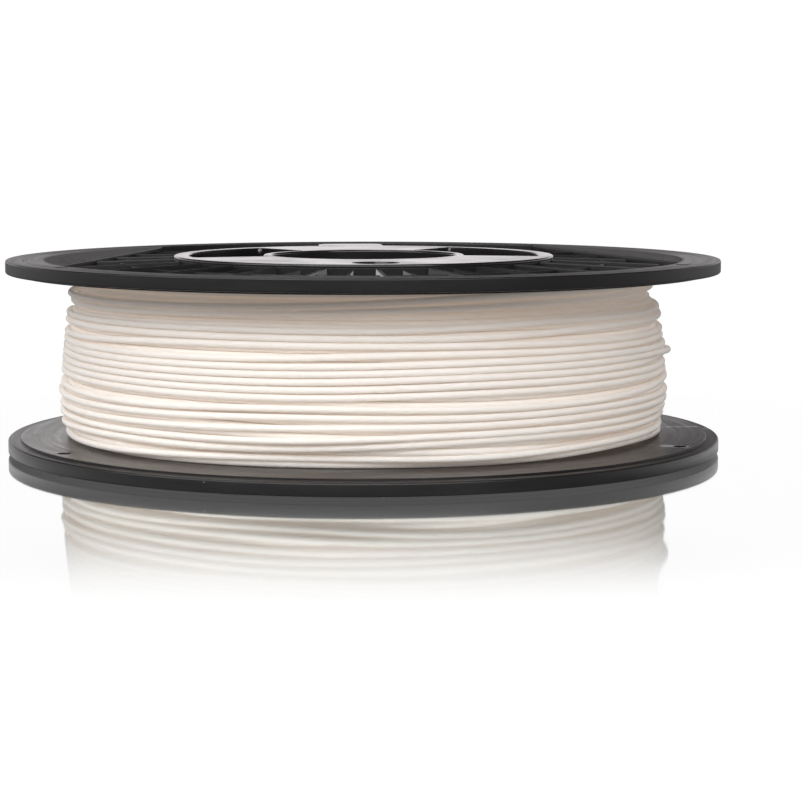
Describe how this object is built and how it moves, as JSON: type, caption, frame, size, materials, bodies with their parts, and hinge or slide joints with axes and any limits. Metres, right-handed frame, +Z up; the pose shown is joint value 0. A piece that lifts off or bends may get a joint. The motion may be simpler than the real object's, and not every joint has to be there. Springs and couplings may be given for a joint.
{
  "type": "filament spool",
  "caption": "Round spool with ribbed flanges on a hollow hub, holding a part-used winding of plastic filament for a 3D printer.",
  "frame": {"origin": "on the spool's axis, in the plane that the lower hub's end face rests on", "axes": "+Z up along the spool's axis; -Y towards the drive hole; the part is mirror-symmetric about X = 0 apart from the drum's start hole"},
  "size_m": [0.2, 0.2, 0.055],
  "materials": {
    "flange": "satin moulded black plastic",
    "hub": "smooth glossy moulded black plastic",
    "drum": "plain moulded black plastic",
    "filament": "soft sheen of extruded warm white plastic"
  },
  "bodies": {
    "root": {"flange_lower": "flange", "flange_upper": "flange", "hub_lower": "hub", "hub_upper": "hub", "core_drum": "drum", "filament_winding": "filament"}
  },
  "joints": []
}
